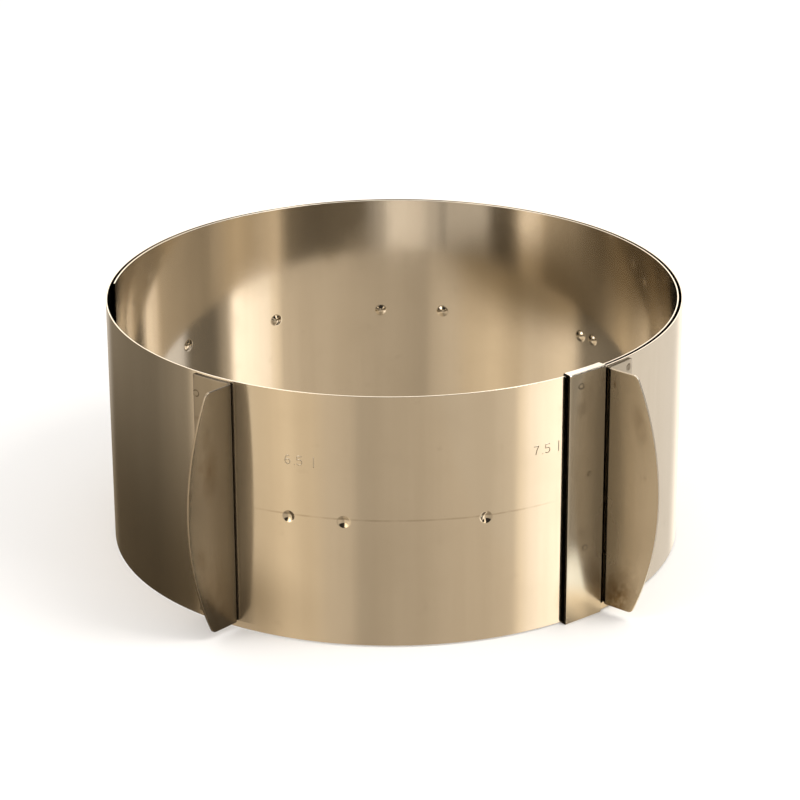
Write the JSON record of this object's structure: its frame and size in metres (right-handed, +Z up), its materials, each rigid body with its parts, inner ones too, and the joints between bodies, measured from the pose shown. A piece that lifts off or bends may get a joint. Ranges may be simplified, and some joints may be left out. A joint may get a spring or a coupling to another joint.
{
  "type": "cake ring",
  "caption": "Adjustable steel cake ring: a curled spring strip that laps over itself, two folded handles to squeeze or spread it, and a guide at the outer end.",
  "frame": {"origin": "on the ring's axis, at the level it stands on: the underside of the guide's lower lip", "axes": "+Z up along the ring's axis, -Y towards the front between the two handles, +X to the right as seen from the front"},
  "size_m": [0.1927, 0.1941, 0.0862],
  "materials": {
    "strip": "fine upright grain, near mirror",
    "handle": "fine grain, semi-bright",
    "guide": "fine upright grain, near mirror"
  },
  "bodies": {
    "band_at_fixed_handle": {"band_at_fixed_handle": "strip", "fixed_handle": "handle"},
    "band_outer_01": {"band_outer_01": "strip"},
    "band_outer_02": {"band_outer_02": "strip"},
    "band_outer_03": {"band_outer_03": "strip"},
    "band_outer_04": {"band_outer_04": "strip"},
    "band_outer_05": {"band_outer_05": "strip"},
    "band_outer_06": {"band_outer_06": "strip"},
    "band_outer_07": {"band_outer_07": "strip"},
    "band_outer_08": {"band_outer_08": "strip"},
    "band_outer_09": {"band_outer_09": "strip"},
    "band_outer_10": {"band_outer_10": "strip"},
    "band_outer_11": {"band_outer_11": "strip"},
    "band_outer_12": {"band_outer_12": "strip"},
    "band_outer_13": {"band_outer_13": "strip"},
    "band_outer_14": {"band_outer_14": "strip"},
    "band_outer_15": {"band_outer_15": "strip"},
    "band_outer_16": {"band_outer_16": "strip", "slide_handle": "handle", "guide_channel": "guide"},
    "band_inner_01": {"band_inner_01": "strip"},
    "band_inner_02": {"band_inner_02": "strip"},
    "band_inner_03": {"band_inner_03": "strip"},
    "band_inner_04": {"band_inner_04": "strip"},
    "band_inner_05": {"band_inner_05": "strip"},
    "band_inner_06": {"band_inner_06": "strip"},
    "band_inner_07": {"band_inner_07": "strip"},
    "band_inner_08": {"band_inner_08": "strip"},
    "band_inner_09": {"band_inner_09": "strip"},
    "band_inner_10": {"band_inner_10": "strip"},
    "band_inner_11": {"band_inner_11": "strip"},
    "band_inner_12": {"band_inner_12": "strip"},
    "band_inner_13": {"band_inner_13": "strip"},
    "band_inner_14": {"band_inner_14": "strip"},
    "band_inner_15": {"band_inner_15": "strip"},
    "band_inner_16": {"band_inner_16": "strip"}
  },
  "joints": [
    {"name": "ring_opening", "type": "hinge", "parent": "band_at_fixed_handle", "child": "band_outer_01", "pos_m": [-0.06543, -0.0697, 0.0431], "axis": [0, 0, 1], "range_deg": [-3.25, 6.53]},
    {"name": "outer_bend_02", "type": "hinge", "parent": "band_outer_01", "child": "band_outer_02", "pos_m": [-0.08362, -0.04647, 0.0431], "axis": [0, 0, 1], "range_deg": [-3.25, 6.52]},
    {"name": "outer_bend_03", "type": "hinge", "parent": "band_outer_02", "child": "band_outer_03", "pos_m": [-0.09387, -0.01881, 0.0431], "axis": [0, 0, 1], "range_deg": [-3.24, 6.51]},
    {"name": "outer_bend_04", "type": "hinge", "parent": "band_outer_03", "child": "band_outer_04", "pos_m": [-0.09521, 0.01066, 0.0431], "axis": [0, 0, 1], "range_deg": [-3.23, 6.5]},
    {"name": "outer_bend_05", "type": "hinge", "parent": "band_outer_04", "child": "band_outer_05", "pos_m": [-0.08752, 0.03914, 0.0431], "axis": [0, 0, 1], "range_deg": [-3.23, 6.49]},
    {"name": "outer_bend_06", "type": "hinge", "parent": "band_outer_05", "child": "band_outer_06", "pos_m": [-0.07153, 0.06394, 0.0431], "axis": [0, 0, 1], "range_deg": [-3.22, 6.47]},
    {"name": "outer_bend_07", "type": "hinge", "parent": "band_outer_06", "child": "band_outer_07", "pos_m": [-0.04876, 0.0827, 0.0431], "axis": [0, 0, 1], "range_deg": [-3.21, 6.46]},
    {"name": "outer_bend_08", "type": "hinge", "parent": "band_outer_07", "child": "band_outer_08", "pos_m": [-0.02138, 0.09367, 0.0431], "axis": [0, 0, 1], "range_deg": [-3.21, 6.44]},
    {"name": "outer_bend_09", "type": "hinge", "parent": "band_outer_08", "child": "band_outer_09", "pos_m": [0.00805, 0.09581, 0.0431], "axis": [0, 0, 1], "range_deg": [-3.2, 6.43]},
    {"name": "outer_bend_10", "type": "hinge", "parent": "band_outer_09", "child": "band_outer_10", "pos_m": [0.03673, 0.08893, 0.0431], "axis": [0, 0, 1], "range_deg": [-3.19, 6.41]},
    {"name": "outer_bend_11", "type": "hinge", "parent": "band_outer_10", "child": "band_outer_11", "pos_m": [0.06199, 0.07368, 0.0431], "axis": [0, 0, 1], "range_deg": [-3.18, 6.39]},
    {"name": "outer_bend_12", "type": "hinge", "parent": "band_outer_11", "child": "band_outer_12", "pos_m": [0.08144, 0.0515, 0.0431], "axis": [0, 0, 1], "range_deg": [-3.17, 6.38]},
    {"name": "outer_bend_13", "type": "hinge", "parent": "band_outer_12", "child": "band_outer_13", "pos_m": [0.09327, 0.02447, 0.0431], "axis": [0, 0, 1], "range_deg": [-3.17, 6.36]},
    {"name": "outer_bend_14", "type": "hinge", "parent": "band_outer_13", "child": "band_outer_14", "pos_m": [0.09637, -0.00487, 0.0431], "axis": [0, 0, 1], "range_deg": [-3.16, 6.34]},
    {"name": "outer_bend_15", "type": "hinge", "parent": "band_outer_14", "child": "band_outer_15", "pos_m": [0.09047, -0.03377, 0.0431], "axis": [0, 0, 1], "range_deg": [-3.15, 6.32]},
    {"name": "outer_bend_16", "type": "hinge", "parent": "band_outer_15", "child": "band_outer_16", "pos_m": [0.07611, -0.05955, 0.0431], "axis": [0, 0, 1], "range_deg": [-3.14, 6.31]},
    {"name": "inner_bend_01", "type": "hinge", "parent": "band_at_fixed_handle", "child": "band_inner_01", "pos_m": [-0.03886, -0.08726, 0.0431], "axis": [0, 0, 1], "range_deg": [-6.63, 3.3]},
    {"name": "inner_bend_02", "type": "hinge", "parent": "band_inner_01", "child": "band_inner_02", "pos_m": [-0.00998, -0.09493, 0.0431], "axis": [0, 0, 1], "range_deg": [-6.64, 3.3]},
    {"name": "inner_bend_03", "type": "hinge", "parent": "band_inner_02", "child": "band_inner_03", "pos_m": [0.01985, -0.09329, 0.0431], "axis": [0, 0, 1], "range_deg": [-6.65, 3.31]},
    {"name": "inner_bend_04", "type": "hinge", "parent": "band_inner_03", "child": "band_inner_04", "pos_m": [0.04771, -0.08251, 0.0431], "axis": [0, 0, 1], "range_deg": [-6.65, 3.31]},
    {"name": "inner_bend_05", "type": "hinge", "parent": "band_inner_04", "child": "band_inner_05", "pos_m": [0.07087, -0.06363, 0.0431], "axis": [0, 0, 1], "range_deg": [-6.66, 3.31]},
    {"name": "inner_bend_06", "type": "hinge", "parent": "band_inner_05", "child": "band_inner_06", "pos_m": [0.08703, -0.03851, 0.0431], "axis": [0, 0, 1], "range_deg": [-6.67, 3.32]},
    {"name": "inner_bend_07", "type": "hinge", "parent": "band_inner_06", "child": "band_inner_07", "pos_m": [0.09462, -0.00961, 0.0431], "axis": [0, 0, 1], "range_deg": [-6.67, 3.32]},
    {"name": "inner_bend_08", "type": "hinge", "parent": "band_inner_07", "child": "band_inner_08", "pos_m": [0.09286, 0.02022, 0.0431], "axis": [0, 0, 1], "range_deg": [-6.67, 3.32]},
    {"name": "inner_bend_09", "type": "hinge", "parent": "band_inner_08", "child": "band_inner_09", "pos_m": [0.08193, 0.04802, 0.0431], "axis": [0, 0, 1], "range_deg": [-6.67, 3.32]},
    {"name": "inner_bend_10", "type": "hinge", "parent": "band_inner_09", "child": "band_inner_10", "pos_m": [0.0629, 0.07105, 0.0431], "axis": [0, 0, 1], "range_deg": [-6.67, 3.32]},
    {"name": "inner_bend_11", "type": "hinge", "parent": "band_inner_10", "child": "band_inner_11", "pos_m": [0.03765, 0.08703, 0.0431], "axis": [0, 0, 1], "range_deg": [-6.67, 3.32]},
    {"name": "inner_bend_12", "type": "hinge", "parent": "band_inner_11", "child": "band_inner_12", "pos_m": [0.00869, 0.09435, 0.0431], "axis": [0, 0, 1], "range_deg": [-6.67, 3.32]},
    {"name": "inner_bend_13", "type": "hinge", "parent": "band_inner_12", "child": "band_inner_13", "pos_m": [-0.02111, 0.0923, 0.0431], "axis": [0, 0, 1], "range_deg": [-6.67, 3.32]},
    {"name": "inner_bend_14", "type": "hinge", "parent": "band_inner_13", "child": "band_inner_14", "pos_m": [-0.04879, 0.08106, 0.0431], "axis": [0, 0, 1], "range_deg": [-6.66, 3.31]},
    {"name": "inner_bend_15", "type": "hinge", "parent": "band_inner_14", "child": "band_inner_15", "pos_m": [-0.07159, 0.06175, 0.0431], "axis": [0, 0, 1], "range_deg": [-6.65, 3.31]},
    {"name": "inner_bend_16", "type": "hinge", "parent": "band_inner_15", "child": "band_inner_16", "pos_m": [-0.08722, 0.03629, 0.0431], "axis": [0, 0, 1], "range_deg": [-6.64, 3.31]}
  ],
  "couplings": [
    {"joint": "outer_bend_02", "follows": "ring_opening", "ratio": 0.99832},
    {"joint": "outer_bend_03", "follows": "ring_opening", "ratio": 0.99652},
    {"joint": "outer_bend_04", "follows": "ring_opening", "ratio": 0.9946},
    {"joint": "outer_bend_05", "follows": "ring_opening", "ratio": 0.99257},
    {"joint": "outer_bend_06", "follows": "ring_opening", "ratio": 0.99045},
    {"joint": "outer_bend_07", "follows": "ring_opening", "ratio": 0.98823},
    {"joint": "outer_bend_08", "follows": "ring_opening", "ratio": 0.98592},
    {"joint": "outer_bend_09", "follows": "ring_opening", "ratio": 0.98354},
    {"joint": "outer_bend_10", "follows": "ring_opening", "ratio": 0.98108},
    {"joint": "outer_bend_11", "follows": "ring_opening", "ratio": 0.97856},
    {"joint": "outer_bend_12", "follows": "ring_opening", "ratio": 0.97599},
    {"joint": "outer_bend_13", "follows": "ring_opening", "ratio": 0.97337},
    {"joint": "outer_bend_14", "follows": "ring_opening", "ratio": 0.9707},
    {"joint": "outer_bend_15", "follows": "ring_opening", "ratio": 0.968},
    {"joint": "outer_bend_16", "follows": "ring_opening", "ratio": 0.96528},
    {"joint": "inner_bend_01", "follows": "ring_opening", "ratio": -1.0146},
    {"joint": "inner_bend_02", "follows": "ring_opening", "ratio": -1.016},
    {"joint": "inner_bend_03", "follows": "ring_opening", "ratio": -1.0173},
    {"joint": "inner_bend_04", "follows": "ring_opening", "ratio": -1.0184},
    {"joint": "inner_bend_05", "follows": "ring_opening", "ratio": -1.0194},
    {"joint": "inner_bend_06", "follows": "ring_opening", "ratio": -1.0201},
    {"joint": "inner_bend_07", "follows": "ring_opening", "ratio": -1.0207},
    {"joint": "inner_bend_08", "follows": "ring_opening", "ratio": -1.0211},
    {"joint": "inner_bend_09", "follows": "ring_opening", "ratio": -1.0214},
    {"joint": "inner_bend_10", "follows": "ring_opening", "ratio": -1.0214},
    {"joint": "inner_bend_11", "follows": "ring_opening", "ratio": -1.0212},
    {"joint": "inner_bend_12", "follows": "ring_opening", "ratio": -1.0207},
    {"joint": "inner_bend_13", "follows": "ring_opening", "ratio": -1.0201},
    {"joint": "inner_bend_14", "follows": "ring_opening", "ratio": -1.0192},
    {"joint": "inner_bend_15", "follows": "ring_opening", "ratio": -1.018},
    {"joint": "inner_bend_16", "follows": "ring_opening", "ratio": -1.0166}
  ]
}
